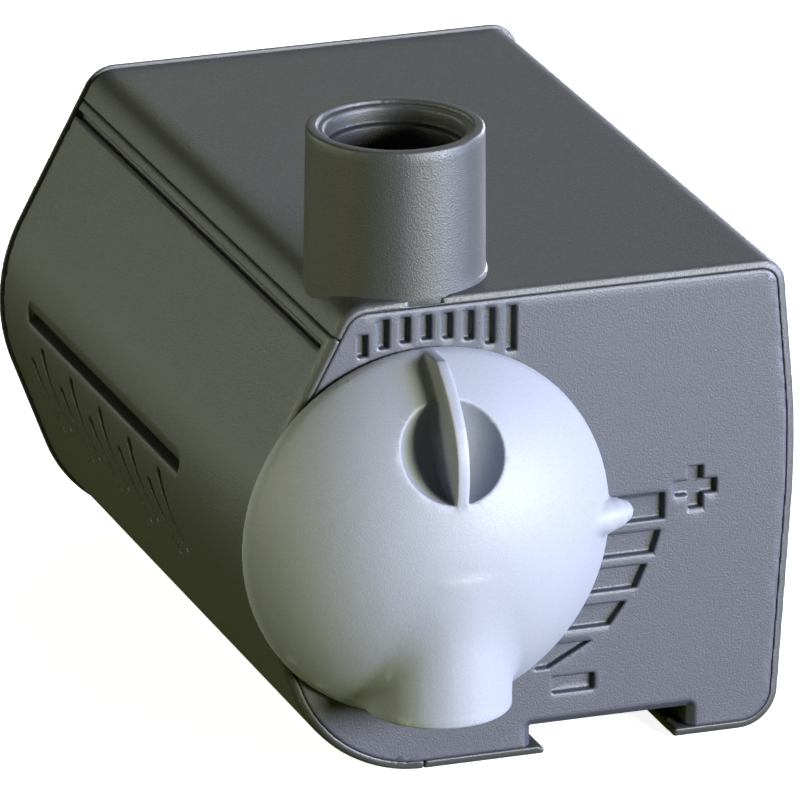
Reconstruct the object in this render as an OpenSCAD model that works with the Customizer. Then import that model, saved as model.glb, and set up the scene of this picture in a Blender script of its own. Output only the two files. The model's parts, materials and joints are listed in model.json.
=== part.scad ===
// Submersible fountain pump with a flow dial, in millimetres.
// +Z is up, the front face looks towards -Y, and the outlet points up.
// The origin is the middle of the bounding box in plan, on the plane that the base stands on.
// Inside this file X, Y and Z run from the front plate: y = 0 is its face, and z = 0 is the base.

/* [Body] */
// Height of the body without the outlet tube
body_h = 46; // [45.5:0.5:48]
// Depth of the body from the front plate to the rear cover
body_depth = 72.6; // [72.6:0.2:80]
// Wall of the outer shell
wall = 1.8; // [1.4:0.1:1.8]
// Radius of the bulge on the left side, around the dial axis
bulge_r = 17.05; // [16.9:0.05:17.4]
// How far the front plate sits inside the rim of the shell
rim_inset = 0.95; // [0.8:0.05:1.1]
// How far the rear cover stands proud of the shell
rear_lip = 0.35; // [0:0.05:0.5]

/* [Outlet] */
// Top of the outlet tube above the base
outlet_top = 60; // [56:0.5:70]
// Outer radius at the foot of the outlet tube
outlet_r = 8.35; // [8.2:0.05:8.5]
// Radius of the outlet bore
outlet_bore_r = 5.83; // [5:0.01:6.2]
// Radius of the wider mouth
outlet_mouth_r = 6.5; // [6.4:0.1:6.8]
// Depth of the wider mouth
outlet_mouth_depth = 2; // [1:0.5:4]
// Radius of the shallow step inside the lip
outlet_step_r = 7.15; // [7:0.05:7.3]

/* [Dial] */
// Radius of the dial
dial_r = 17.8; // [17.6:0.1:18]
// Height of the dome's top in front of the plate
dome_top = 10.9; // [9.5:0.1:11.5]
// Wall of the dome
dome_wall = 1.5; // [1.2:0.1:1.8]
// Outer radius of the inlet hood
hood_r = 6.9; // [6.5:0.1:7.1]
// Thickness of the finger fin
fin_t = 1.2; // [1:0.1:1.6]
// Radius of the finger recess
recess_r = 5.2; // [4.8:0.1:5.6]

/* [Front plate] */
// Thickness of the front plate
plate_t = 2; // [1.8:0.1:2]
// Depth of the shallow slots, the plus sign and the scale
mark_depth = 0.7; // [0.4:0.1:1.2]
// Number of shallow slots above the dial
front_slots = 8; // [5:1:8]
// Distance between the shallow slots
front_pitch = 1.97; // [1.8:0.01:2]

/* [Side strainer] */
// Number of pairs of slanting slots
strainer_pairs = 5; // [2:1:5]
// Distance between the pairs
strainer_pitch = 8.67; // [8:0.01:8.67]
// Width of the slanting slots
strainer_w = 0.8; // [0.6:0.1:1.2]

/* [Motor] */
// Radius of the shaft
shaft_r = 1.5; // [1.2:0.1:1.5]
// Radial clearance of the bores that run on the shaft
running_gap = 0.05; // [0.03:0.01:0.08]
// Outer radius of the rotor magnet
magnet_r = 6.6; // [6:0.1:6.8]
// Radius of the impeller
impeller_r = 9.8; // [8.5:0.1:10.4]
// Number of impeller vanes
vanes = 6; // [4:1:8]
// Thickness of the lamination stack
stack_t = 20; // [14:1:20]
// Radius of the cable passage in the gland
cable_r = 3; // [2.5:0.1:3.2]

/* [Hidden] */
$fn = 72;
arc_steps = 12;
part_gap = 0.12;
cut = 1;

// The dial, the impeller and the motor share one axis along Y
axis_x = -10;
axis_z = 23.7;
outlet_y = 8.5;

// Outline of the body seen from the front: circles [x, z, r], anticlockwise, joined by tangents
right_x = 26.4;
right_r = 80;
corners = [
    [right_x - right_r, 27, right_r],
    [22.7, body_h - 2.5, 2.5],
    [-15.7, body_h - 3, 3],
    [axis_x, axis_z, bulge_r],
    [-9.8, 13.6, 13.6],
    [21.35, 3.8, 3.8]
];
seam_x = -9.8;
seam_z = 43.2;

// Depths along Y
rebate_y = plate_t + 0.2;
rear_y = body_depth - 1.8;
lip_y = body_depth - 0.4;
chamber_y = 5.4;
chamber_back = 13;
motor_y = 16.5;
motor_end = 60;
can_end = 50;
core_y = 24;
magnet_y = 22;
magnet_end = 44;
gland_end = body_depth + 6.4;

// Dial
dial_back = -0.3;
rim_front = -1;
dome_rise = dome_top + rim_front;
dome_r = (dial_r * dial_r + dome_rise * dome_rise) / (2 * dome_rise);
dome_centre = dome_r - dome_top;
hood_y = -3.65;
hood_z = 8;
recess_z = 33.7;
window_sweep = 22;
window_r = [6, 13.4];
pivot_r = 2.5;

// Foot rail in the bottom
rail_x = [0.72, 16.14];
rail_lip = 1.3;
rail_lip_t = 1;
rail_top = 2.8;

// Chamber screws, seen from the front
screw_dx = 6.9;
screw_dz = 13.6;
screw_hole_r = 1.15;
rear_screws_at = [[-12.5, 42.2], [21.2, 42.2], [21.2, 3.8], [-5, 3.8]];

gland_x = 8;
gland_z = 14;

// Middle of the bounding box in plan
mid_x = (axis_x - dial_r + right_x) / 2;
mid_y = (gland_end - dome_top) / 2;

// ---------- helpers ----------

// Moves the pump from its plate-based frame to the frame of the part
module placed() translate([-mid_x, -mid_y, 0]) children();

// Extrudes an outline drawn in X and Z from y0 to y1
module along_y(y0, y1) translate([0, y1, 0]) rotate([90, 0, 0]) linear_extrude(y1 - y0) children();

// Cylinder along Y from y0 to y1
module rod_y(r, y0, y1, x = axis_x, z = axis_z)
    translate([x, y1, z]) rotate([90, 0, 0]) cylinder(r = r, h = y1 - y0);

// Ring along Y
module ring_y(r_out, r_in, y0, y1, x = axis_x, z = axis_z) difference() {
    rod_y(r_out, y0, y1, x, z);
    rod_y(r_in, y0 - cut, y1 + cut, x, z);
}

// Vertical cylinder
module post(r, z0, z1, x, y) translate([x, y, z0]) cylinder(r = r, h = z1 - z0);

// Block between two corners
module block(low, high) translate(low) cube(high - low);

// Turns a profile [radius, distance behind the plate] about the dial axis
module turned_y() translate([axis_x, 0, axis_z]) rotate([-90, 0, 0]) rotate_extrude() children();

// Direction of the outward normal of the tangent that joins circle a to circle b
function tangent_angle(a, b) = let(d = [b[0] - a[0], b[1] - a[1]])
    atan2(d[1], d[0]) - acos((a[2] - b[2]) / norm(d));

// Arc of circle c between its tangents, moved inwards by inset
function corner_arc(before, c, after, inset) = let(
        start = tangent_angle(before, c),
        sweep = (tangent_angle(c, after) - start + 720) % 360
    ) [for (i = [0:arc_steps]) let(a = start + sweep * i / arc_steps)
        [c[0] + (c[2] - inset) * cos(a), c[1] + (c[2] - inset) * sin(a)]];

// Outline of the body, moved inwards by inset
module section(inset = 0) {
    n = len(corners);
    polygon([for (i = [0:n - 1])
        each corner_arc(corners[(i + n - 1) % n], corners[i], corners[(i + 1) % n], inset)]);
}

// Wall between two insets of the body outline
module section_ring(inset_out, inset_in) difference() {
    section(inset_out);
    section(inset_in);
}

// Part of the front view that belongs to the side cover; grow moves its edges outwards
module side_zone(grow) {
    slope = [0.872, -0.49];
    edge = [-18.95, seam_z] + grow * [0.49, 0.872];
    polygon([
        edge - 12 * slope,
        edge + 10 * slope,
        [seam_x + grow, axis_z],
        [seam_x + grow, -5],
        [-45, -5],
        [-45, seam_z]
    ]);
}

// Sleeve of the body: thin in front around the plate, full wall behind it
module sleeve() {
    along_y(0, rebate_y) section_ring(0, rim_inset - 0.1);
    along_y(rebate_y, lip_y) section_ring(0, wall);
}

// ---------- outer pieces ----------

// Rail channel that the foot plate slides into, along the whole bottom
module rail_block() block([rail_x[0] - 1.5, rebate_y, 0], [rail_x[1] + 1.5, rear_y, rail_top + 1.6]);

module rail_channel() {
    block([rail_x[0], -cut, rail_lip_t], [rail_x[1], lip_y + cut, rail_top]);
    block([rail_x[0] + rail_lip, -cut, -cut], [rail_x[1] - rail_lip, lip_y + cut, rail_lip_t + 0.01]);
}

module rear_screw_bosses() intersection() {
    for (p = rear_screws_at) rod_y(2.4, motor_end + 1, rear_y, p[0], p[1]);
    along_y(motor_end, rear_y) section(0.5);
}

module rear_screw_holes(r, y0) for (p = rear_screws_at) rod_y(r, y0, body_depth + cut, p[0], p[1]);

module housing_shell() color("#5c6066") placed() difference() {
    union() {
        difference() {
            sleeve();
            along_y(-cut, lip_y + cut) side_zone(part_gap);
        }
        rail_block();
        rear_screw_bosses();
    }
    rail_channel();
    block([rail_x[0], -cut, -cut], [rail_x[1], rebate_y, rail_top]);
    // hole of the outlet's foot, wider through the front rim
    post(outlet_r + 0.1, body_h - 4, body_h + cut, axis_x, outlet_y);
    intersection() {
        post(outlet_r + 0.4, body_h - 4, body_h + cut, axis_x, outlet_y);
        block([-30, -cut, 0], [30, 0.5, 100]);
    }
    rear_screw_holes(1.1, motor_end);
    rear_screw_holes(2.3, body_depth - 1);
}

// Cuts an outline drawn in Y and Z through the left wall
module through_left() translate([-30, 0, 0]) rotate([90, 0, 90]) linear_extrude(10) children();

// Slot with eight-sided ends between two points [y, z] in the side view
module slot_outline(a, b, w) {
    across = w / 2 * [-(b - a)[1], (b - a)[0]] / norm(b - a);
    polygon([a - across, b - across, b + across, a + across]);
    for (end = [a, b]) translate(end) circle(r = w / 2, $fn = 8);
}

// Slanting slot whose top end lies at y: it leans forwards on its way down
module slanting_slot(y, z_top, z_low) slot_outline([y, z_top], [y - 2.3, z_low], strainer_w);

module side_cover() color("#4b4e48") placed() difference() {
    union() {
        intersection() {
            sleeve();
            along_y(-cut, lip_y) side_zone(0);
        }
        // tongue that locates the lower edge inside the shell
        block([-13, 12, wall + 0.1], [-6.5, 58, wall + 1.1]);
        block([-13, 12, wall - 0.6], [seam_x - 0.6, 58, wall + 0.5]);
    }
    // shadow groove under the parting line
    along_y(-cut, lip_y + cut) translate([-19.6, 42.05]) rotate(-29.3) square([0.9, 0.45], center = true);
    through_left() {
        slot_outline([20, 24.95], [64.8, 24.95], 1.7);
        for (i = [0:strainer_pairs - 1]) {
            slanting_slot(60.4 - i * strainer_pitch, 22.1, 15.3);
            slanting_slot(64.1 - i * strainer_pitch, 19.9, 13.8);
        }
    }
}

// Plus sign on the front plate
module plus_mark() translate([16.55, 24.6]) {
    square([4.1, 1.4], center = true);
    square([1.4, 4.1], center = true);
}

// Recessed cells of the scale: they shrink from the plus sign down to the last bar
module scale_cells() difference() {
    union() {
        polygon([[4, 24.45], [13.5, 24.45], [13.5, 21.9], [4, 21.9]]);
        polygon([[4, 20.8], [13.1, 20.8], [12.46, 18.65], [4, 18.65]]);
        polygon([[4, 17.6], [11.8, 17.6], [10.8, 15.4], [4, 15.4]]);
        polygon([[3, 14.17], [9.8, 14.17], [8.25, 12.05], [2, 12.05]]);
        polygon([[1, 10.7], [6.4, 10.7], [2.3, 8.5], [1, 8.5]]);
        polygon([[2.7, 7.53], [6.8, 7.53], [6.8, 5.92], [2.7, 5.92]]);
    }
    translate([axis_x, axis_z]) circle(r = dial_r - 0.8);
}

// Window behind the dial that the hood feeds
module ring_sector(r_in, r_out, sweep) translate([axis_x, axis_z]) difference() {
    intersection() {
        circle(r = r_out);
        polygon([[0, 0], for (a = [-90 - sweep, -90, -90 + sweep]) 2 * r_out * [cos(a), sin(a)]]);
    }
    circle(r = r_in);
}

// Shallow slots: vertical, with their lower ends on a circle just outside the dial
module front_slot_row() {
    first = axis_x - 6.1 + (8 - front_slots) / 2 * front_pitch;
    for (i = [0:front_slots - 1]) {
        x = first + i * front_pitch;
        low = axis_z + sqrt(pow(dial_r + 0.55, 2) - pow(x - axis_x, 2));
        translate([x - 0.47, low]) square([0.94, (i == 0 ? 43.1 : 44.4) - low]);
    }
}

module front_cover() color("#74757f") placed() difference() {
    union() {
        along_y(0, plate_t) section(rim_inset);
        // tongues that grip inside the shell
        block([4, plate_t - cut / 2, body_h - wall - 1.2], [12, 8, body_h - wall - 0.1]);
        block([23, plate_t - cut / 2, 20], [24.1, 8, 34]);
    }
    // seat of the dial's pivot, and inlet window
    rod_y(pivot_r + 0.06, -cut, plate_t + cut);
    along_y(-cut, plate_t + cut) ring_sector(window_r[0], window_r[1], window_sweep);
    along_y(-cut, mark_depth) {
        front_slot_row();
        plus_mark();
        scale_cells();
    }
    // notch over the foot rail
    block([rail_x[0], -cut, -cut], [rail_x[1], plate_t + cut, rail_top]);
}

module rear_cover() color("#5c6066") placed() difference() {
    union() {
        // thin flange over the rear edge of the shell, and a plug inside it
        intersection() {
            along_y(lip_y, body_depth) section(-rear_lip);
            block([-60, 0, 0], [right_x, 200, 100]);
        }
        along_y(rear_y, lip_y) section(wall + 0.15);
        // locating ribs inside the shell
        block([-6, rear_y - 3, body_h - wall - 1.3], [15, rear_y, body_h - wall - 0.1]);
        block([22.2, rear_y - 3, 12], [23.3, rear_y, 34]);
    }
    rod_y(4.15, rear_y - cut, body_depth + cut, gland_x, gland_z);
    rear_screw_holes(1.3, rear_y - cut);
    rear_screw_holes(2.3, body_depth - 1);
}

module rear_screws() color("#b8bcc0") placed() for (p = rear_screws_at) difference() {
    union() {
        rod_y(2.15, body_depth - 1, body_depth, p[0], p[1]);
        rod_y(1.1, motor_end + 2, body_depth - 0.5, p[0], p[1]);
    }
    // cross recess
    block([p[0] - 1.2, body_depth - 0.6, p[1] - 0.22], [p[0] + 1.2, body_depth + cut, p[1] + 0.22]);
    block([p[0] - 0.22, body_depth - 0.6, p[1] - 1.2], [p[0] + 0.22, body_depth + cut, p[1] + 1.2]);
}

// Gland: collar and flange hold it in the rear cover, and its boot tapers towards the end
module cable_gland() color("#2b2c2e") placed() translate([gland_x, 0, gland_z]) rotate([-90, 0, 0])
    rotate_extrude() polygon([
        [cable_r, rear_y - 1.8],
        [5.6, rear_y - 1.8],
        [5.6, rear_y - 0.05],
        [4.1, rear_y - 0.05],
        [4.1, body_depth + 0.05],
        [5.4, body_depth + 0.05],
        [5.4, body_depth + 1.6],
        [4.7, body_depth + 2],
        [3.9, gland_end],
        [cable_r, gland_end]
    ]);

// ---------- flow dial ----------

// Dome as a spherical cap on a short rim; shrink moves its surface inwards
module dome(shrink) intersection() {
    translate([axis_x, dome_centre, axis_z]) rotate([90, 0, 0]) sphere(r = dome_r - shrink, $fn = 96);
    rod_y(dial_r - shrink, -dome_top, dial_back);
}

// Wall under the dome that leads the water from the hood to the window
module feed_wall(grow) along_y(-dome_top + 1, dial_back)
    ring_sector(window_r[0] - grow, window_r[1] + grow, window_sweep + grow * 3);

// Fin in the plane of the axis, drawn as [distance in front of the plate, z]
module fin() intersection() {
    translate([axis_x + fin_t / 2, 0, 0]) rotate([90, 0, -90]) linear_extrude(fin_t) polygon([
        [0.5, 41.4], [4.2, 41.4], [5, 41], [6.4, 39.9], [7.4, 38.8], [9.4, 36.6],
        [10.2, 34.4], [10.45, 32.2], [10.1, 29], [4, 28]
    ]);
    rod_y(dial_r - 0.1, -dome_top, dial_back);
}

// Pointer on the rim that reads against the scale
module nub() along_y(-3.4, -0.4) polygon([
    [4.6, 22], [6.9, 22.3], [8.4, 22.8], [9.4, 23.4], [9.7, 23.9], [9.4, 24.4], [8.4, 25], [6.9, 25.5], [4.6, 25.8]
]);

module flow_dial() color("#cfd6e2") placed() difference() {
    union() {
        difference() {
            union() {
                difference() {
                    dome(0);
                    dome(dome_wall);
                }
                intersection() {
                    feed_wall(1.1);
                    dome(0.5);
                }
                intersection() {
                    ring_y(dial_r - 0.5, dial_r - 2.2, rim_front - 2, dial_back);
                    dome(0.2);
                }
                intersection() {
                    post(hood_r, hood_z, 22, axis_x, hood_y);
                    block([-30, -dome_top, 0], [30, dial_back, 40]);
                }
                // bowl that carries the finger recess
                intersection() {
                    rod_y(recess_r + 1.4, -9.6, dial_back - 0.4, axis_x, recess_z);
                    dome(0.3);
                }
                rod_y(4.2, -dome_top + 0.7, dial_back);
            }
            // finger recess
            rod_y(recess_r, -dome_top - cut, -4, axis_x, recess_z);
            // water way from the mouth of the hood to the window
            intersection() {
                feed_wall(0);
                dome(dome_wall);
            }
            along_y(dial_back - 0.5, dial_back + cut) ring_sector(window_r[0], window_r[1], window_sweep);
            intersection() {
                post(hood_r - 1.2, hood_z - cut, 16.5, axis_x, hood_y);
                block([-30, -dome_top, 0], [30, -1.4, 40]);
            }
        }
        fin();
        nub();
        // pivot with its clip groove and head
        rod_y(pivot_r, dial_back - 1, plate_t + 0.1);
        rod_y(1.8, dial_back - 1, plate_t + 1);
        rod_y(2.4, plate_t + 0.8, plate_t + 1.2);
    }
}

module dial_clip() color("#b8bcc0") placed() difference() {
    ring_y(3.9, 1.85, plate_t + 0.15, plate_t + 0.75);
    block([axis_x - 1.2, 0, axis_z], [axis_x + 1.2, 10, axis_z + 6]);
}

// ---------- pump end ----------

module screw_lugs(r, y0, y1) for (sx = [-1, 1], sz = [-1, 1])
    rod_y(r, y0, y1, axis_x + sx * screw_dx, axis_z + sz * screw_dz);

// Outlet tube: foot from the height low, flange on the shell, tapered wall and rounded lip
module outlet_tube(low) translate([axis_x, outlet_y, 0]) rotate_extrude() polygon([
    [0, low],
    [outlet_r, low],
    [outlet_r, body_h + 0.02],
    [outlet_r + 0.15, body_h + 0.02],
    [outlet_r + 0.15, body_h + 0.3],
    [outlet_r, body_h + 0.45],
    [outlet_r - 0.15, outlet_top - 1.5],
    for (a = [15:15:75]) [outlet_r - 0.65 + 0.5 * cos(a), outlet_top - 0.6 + 0.6 * sin(a)],
    [outlet_r - 0.65, outlet_top],
    [0, outlet_top]
]);

module pump_chamber() color("#5c6066") placed() difference() {
    union() {
        rod_y(13.2, chamber_y, motor_y - 0.1);
        screw_lugs(2.5, chamber_y, motor_y - 0.1);
        outlet_tube(body_h - 0.9);
        intersection() {
            outlet_tube(seam_z + 0.2);
            block([-30, rebate_y, 0], [30, 30, 100]);
        }
        // rising duct, cut flat behind the front plate
        intersection() {
            post(6.6, axis_z, body_h, axis_x, 9.2);
            block([-30, plate_t + 0.6, 37.2], [30, motor_y - 0.1, body_h]);
        }
    }
    rod_y(11.5, chamber_y - cut, chamber_back);
    rod_y(8.4, chamber_back - cut, motor_y);
    post(outlet_bore_r, body_h - 1, outlet_top + cut, axis_x, outlet_y);
    post(outlet_mouth_r, outlet_top - outlet_mouth_depth, outlet_top + cut, axis_x, outlet_y);
    post(outlet_step_r, outlet_top - 0.4, outlet_top + cut, axis_x, outlet_y);
    post(4.9, 37.5, body_h, axis_x, 9.2);
    block([axis_x - 4.9, chamber_y - cut, 30], [axis_x + 4.9, chamber_back, 37.6]);
    screw_lugs(screw_hole_r, chamber_y - cut, motor_y);
    // groove of the seal
    ring_y(11.4, 9.4, motor_y - 1.5, motor_y);
}

// Arms that hold the front bush in the inlet eye
module eye_arms() for (a = [90, 210, 330]) translate([axis_x, 0, axis_z]) rotate([0, -a, 0])
    block([0, 2, -0.7], [8, 8, 0.7]);

module chamber_cover() color("#6b6f76") placed() difference() {
    union() {
        rod_y(13.2, 3.9, chamber_y);
        rod_y(3.7, 3.9, 5.9);
        screw_lugs(2.5, 3.9, chamber_y);
    }
    difference() {
        ring_y(6.2, 3.7, 3, 6.5);
        eye_arms();
    }
    rod_y(2.6, 3, 7);
    screw_lugs(screw_hole_r, 3, 6);
    // room for the rising duct
    post(6.8, 36.5, body_h, axis_x, 9.2);
}

module chamber_seal() color("#202123") placed() translate([axis_x, motor_y - 0.75, axis_z])
    rotate([90, 0, 0]) rotate_extrude() translate([10.4, 0]) circle(r = 0.72, $fn = 24);

module chamber_screws() color("#b8bcc0") placed() for (sx = [-1, 1], sz = [-1, 1]) {
    x = axis_x + sx * screw_dx;
    z = axis_z + sz * screw_dz;
    difference() {
        union() {
            rod_y(1.95, 2.6, 3.9, x, z);
            rod_y(1.08, 3.5, 23, x, z);
        }
        block([x - 1.1, 1, z - 0.2], [x + 1.1, 3.2, z + 0.2]);
        block([x - 0.2, 1, z - 1.1], [x + 0.2, 3.2, z + 1.1]);
    }
}

// ---------- rotor ----------

module impeller() color("#d9dadd") placed() difference() {
    union() {
        rod_y(impeller_r, 11.2, 12.4);
        rod_y(3.4, 6.8, 12);
        rod_y(4.2, 12, 17);
        for (i = [0:vanes - 1]) translate([axis_x, 0, axis_z]) rotate([0, i * 360 / vanes, 0])
            block([3, 6.8, -0.5], [impeller_r - 0.2, 11.6, 0.5]);
    }
    rod_y(shaft_r + running_gap, 6, 18);
    // half-round pocket that gives the drive dog its free travel
    intersection() {
        ring_y(5, 2.6, 14, 18);
        block([-30, 10, axis_z], [10, 20, 40]);
    }
}

module rotor_carrier() color("#e8e6df") placed() difference() {
    union() {
        rod_y(4.2, 17.02, 20);
        rod_y(magnet_r, 20, magnet_y);
        rod_y(3.2, magnet_y - 0.5, magnet_end + 0.4);
        // drive dog
        intersection() {
            ring_y(4.1, 2.75, 14.2, 17.5);
            block([axis_x - 1.6, 10, axis_z + 0.5], [axis_x + 1.6, 20, 40]);
        }
    }
    rod_y(shaft_r + running_gap, 10, 50);
}

module rotor_magnet() color("#3a3a3d") placed() ring_y(magnet_r, 3.22, magnet_y + 0.02, magnet_end);

module thrust_washers() color("#f1efe9") placed() {
    ring_y(2.8, shaft_r + running_gap + 0.02, 6.05, 6.7);
    ring_y(2.8, shaft_r + running_gap + 0.02, magnet_end + 0.5, magnet_end + 1.15);
}

module rotor_shaft() color("#f4f2ec") placed() rod_y(shaft_r, 4.3, 47.6);

module front_bush() color("#2b2c2e") placed() difference() {
    rod_y(2.58, 3.7, 5.95);
    rod_y(shaft_r + 0.01, 4.28, 7);
}

module rear_bush() color("#2b2c2e") placed() difference() {
    rod_y(3.98, 45.4, 48.38);
    rod_y(shaft_r + 0.01, 44, 47.62);
}

// ---------- motor ----------

// Thin cup around the rotor, with a collar in front and a seat for the rear bush
module rotor_can() color("#8b9096") placed() difference() {
    union() {
        rod_y(8.3, motor_y - 0.5, can_end);
        rod_y(9.2, motor_y - 0.05, motor_y + 1.2);
    }
    rod_y(7.5, motor_y - cut, 45.5);
    rod_y(4, 45, 48.4);
}

// Outline of the motor housing; t is the distance from its outer face
module motor_outline(t) polygon([
    [-20.5 + t, 12 + 0.4 * t],
    [-14 + 0.4 * t, 5.2 + t],
    [22.4 - t, 5.2 + t],
    [22.4 - t, 42.8 - t],
    [-16 + 0.6 * t, 42.8 - t],
    [-20.5 + t, 35 - 0.3 * t]
]);

module motor_housing() color("#54585e") placed() difference() {
    union() {
        along_y(motor_y, motor_y + 1.6) motor_outline(0);
        along_y(motor_y, motor_end) difference() {
            motor_outline(0);
            motor_outline(1.5);
        }
        intersection() {
            screw_lugs(2.5, motor_y, core_y);
            along_y(motor_y, core_y) motor_outline(0);
        }
    }
    rod_y(8.32, motor_y - cut, motor_y + 3);
    rod_y(9.22, motor_y - cut, motor_y + 1.2);
    screw_lugs(1.08, motor_y - cut, 23.2);
}

module potting_resin() color("#3b2f22") placed() difference() {
    along_y(52, motor_end - 0.2) motor_outline(1.52);
    lead_cores(0.92);
}

// U-shaped laminations: two legs with pole arcs around the rotor, and a yoke on the right
module stator_core() color("#7d8086") placed() along_y(core_y, core_y + stack_t) difference() {
    translate([-17.5, axis_z - 12.5]) square([38, 25]);
    translate([-20, axis_z - 5]) square([33, 10]);
    translate([axis_x, axis_z]) circle(r = 8.7);
}

// Middle heights of the two legs
leg_z = [axis_z - 8.75, axis_z + 8.75];

// Box around a leg, grown by g in Y and Z
module leg_box(x0, x1, z, g) block(
    [x0, core_y - g, z - 3.75 - g],
    [x1, core_y + stack_t + g, z + 3.75 + g]
);

module coil_bobbins() color("#e3ddcb") placed() for (z = leg_z) difference() {
    union() {
        leg_box(0.3, 12.7, z, 0.9);
        leg_box(0.3, 1.3, z, 3.6);
        leg_box(11.7, 12.7, z, 3.6);
    }
    leg_box(0, 13, z, 0.08);
}

module coil_windings() color("#b06a35") placed() for (z = leg_z) difference() {
    hull() {
        leg_box(1.32, 11.68, z, 3.1);
        leg_box(2.2, 10.8, z, 3.4);
    }
    leg_box(0, 13, z, 0.92);
}

module thermal_fuse() color("#c9ccd1") placed() {
    translate([2, 49.9, leg_z[1]]) rotate([0, 90, 0]) cylinder(r = 1.9, h = 9);
    translate([0.2, 49.9, leg_z[1]]) rotate([0, 90, 0]) cylinder(r = 0.5, h = 13);
}

// Cores that lead from the coils towards the gland
module lead_cores(r) for (x = [4, 11]) rod_y(r, 48.4, 63, x, 18);

module lead_joints() color("#c9a24a") placed() {
    lead_cores(0.9);
    for (x = [4, 11]) difference() {
        rod_y(1.6, 60.5, 67.5, x, 18);
        rod_y(1, 64, 68, x, 18);
    }
}

module rubber_buffers() color("#2b2c2e") placed() for (y = [22, 50]) {
    block([4, y, 42.82], [14, y + 5, body_h - wall - 0.02]);
    block([3, y, rail_top + 1.62], [13, y + 5, 5.18]);
}

// ---------- assembly ----------

housing_shell();
side_cover();
front_cover();
rear_cover();
rear_screws();
cable_gland();
flow_dial();
dial_clip();
pump_chamber();
chamber_cover();
chamber_seal();
chamber_screws();
impeller();
rotor_carrier();
rotor_magnet();
thrust_washers();
rotor_shaft();
front_bush();
rear_bush();
rotor_can();
motor_housing();
potting_resin();
stator_core();
coil_bobbins();
coil_windings();
thermal_fuse();
lead_joints();
rubber_buffers();
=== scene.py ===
"""Looks of a small submersible fountain pump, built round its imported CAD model.

Shapes are worked out in the pump's own plate frame, in millimetres: the front face of the plate
is y = 0, y grows towards the back, z = 0 is the base, and x = 0 lies 10 mm right of the dial axis.
Moulded pieces are distance fields with rounded edges, turned into meshes by OpenVDB.
"""

import json
import math

import bmesh
import bpy
import numpy as np
import openvdb
from mathutils import Matrix, Vector

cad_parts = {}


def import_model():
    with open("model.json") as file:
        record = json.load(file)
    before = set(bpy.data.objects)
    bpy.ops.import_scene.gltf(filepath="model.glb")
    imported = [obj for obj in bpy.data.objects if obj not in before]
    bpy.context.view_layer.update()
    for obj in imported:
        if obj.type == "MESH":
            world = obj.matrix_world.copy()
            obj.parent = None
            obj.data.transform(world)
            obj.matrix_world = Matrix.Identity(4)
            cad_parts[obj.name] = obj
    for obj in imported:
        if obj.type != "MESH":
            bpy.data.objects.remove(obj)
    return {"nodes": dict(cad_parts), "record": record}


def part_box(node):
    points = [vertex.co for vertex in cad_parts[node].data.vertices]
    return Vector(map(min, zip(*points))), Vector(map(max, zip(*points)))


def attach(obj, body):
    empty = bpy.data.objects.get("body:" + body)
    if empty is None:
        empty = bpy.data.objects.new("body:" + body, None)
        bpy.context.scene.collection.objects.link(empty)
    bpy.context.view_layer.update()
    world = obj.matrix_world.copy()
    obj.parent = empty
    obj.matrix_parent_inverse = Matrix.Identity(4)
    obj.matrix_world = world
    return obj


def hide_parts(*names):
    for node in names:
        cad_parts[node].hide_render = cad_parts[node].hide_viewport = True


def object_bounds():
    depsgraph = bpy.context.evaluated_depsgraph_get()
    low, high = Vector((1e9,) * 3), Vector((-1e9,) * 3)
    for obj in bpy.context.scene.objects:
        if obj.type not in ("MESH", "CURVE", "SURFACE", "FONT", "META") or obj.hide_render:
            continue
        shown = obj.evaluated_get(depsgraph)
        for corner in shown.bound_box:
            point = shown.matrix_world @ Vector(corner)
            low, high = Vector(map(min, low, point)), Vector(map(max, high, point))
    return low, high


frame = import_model()
CAD_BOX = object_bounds()

# ---------- dimensions in millimetres, in the plate frame ----------

MM = 0.001
AXIS_X, AXIS_Z = -10.0, 23.7
BELOW, BEHIND = -3, 80  # clear of the base and of the rear cover
FIT = 0.1  # gap between pieces that slide into each other
ADAPTIVITY = 0.02  # how far OpenVDB may merge faces on flat stretches

# body
BODY_H = 46.0
RIGHT_X = 26.4
DEPTH = 72.6
REAR_Y = 70.8
LIP_Y = 72.2
WALL = 1.8
REBATE_Y = 2.2
RIM_WALL = 0.85
RIM_SLOPE = 0.3
SEAM_X, SEAM_Z = -9.8, 43.2
SEAM_GAP = 0.06
PARTING_START = Vector((-18.95, SEAM_Z))
PARTING = Vector((0.872, -0.49))
GROOVE_X, GROOVE_Z = -19.6, 42.05
GROOVE_FRONT = 1.6
RAIL = (0.72, 16.14)
RAIL_TOP = 2.8
RAIL_LIP = 1.3
RAIL_WALL = 1.5
RAIL_ROOF = 1.6

# strainer slots of the side cover; a slanting one is y and z of its top end and z of its low end
LONG_SLOT_Y = (20.9, 63.9)
LONG_SLOT_Z = 25.1
LONG_SLOT_R = 1.0
THROAT_R = 0.42
THROAT_DROP = 0.6
SLANT_PAIR = ((60.4, 22.1, 15.3), (64.1, 19.9, 13.8))
SLANT_PAIRS = 5
SLANT_PITCH = 8.67
SLANT_RUN = 2.3
SLANT_TOP_R, SLANT_LOW_R = 0.55, 0.25
LIP_SLOPE = 0.45
CUT_REACH_X = -18

# rear cover
GLAND = (8.0, 14.0)
GLAND_R = 4.15
GLAND_PAD_R = 7.2
REAR_SCREWS = ((-12.5, 42.2), (21.2, 42.2), (21.2, 3.8), (-5.0, 3.8))
SCREW_R = 1.1
SCREW_PASS_R = 1.3
SCREW_HEAD_R = 2.3
SCREW_HEAD_DEPTH = 1.0
SCREW_PAD_R = 4.1
BOSS_R = 2.4
BOSS_FRONT = 61
BACK_FRAME = 2.6
BACK_SINK = 0.45

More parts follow.
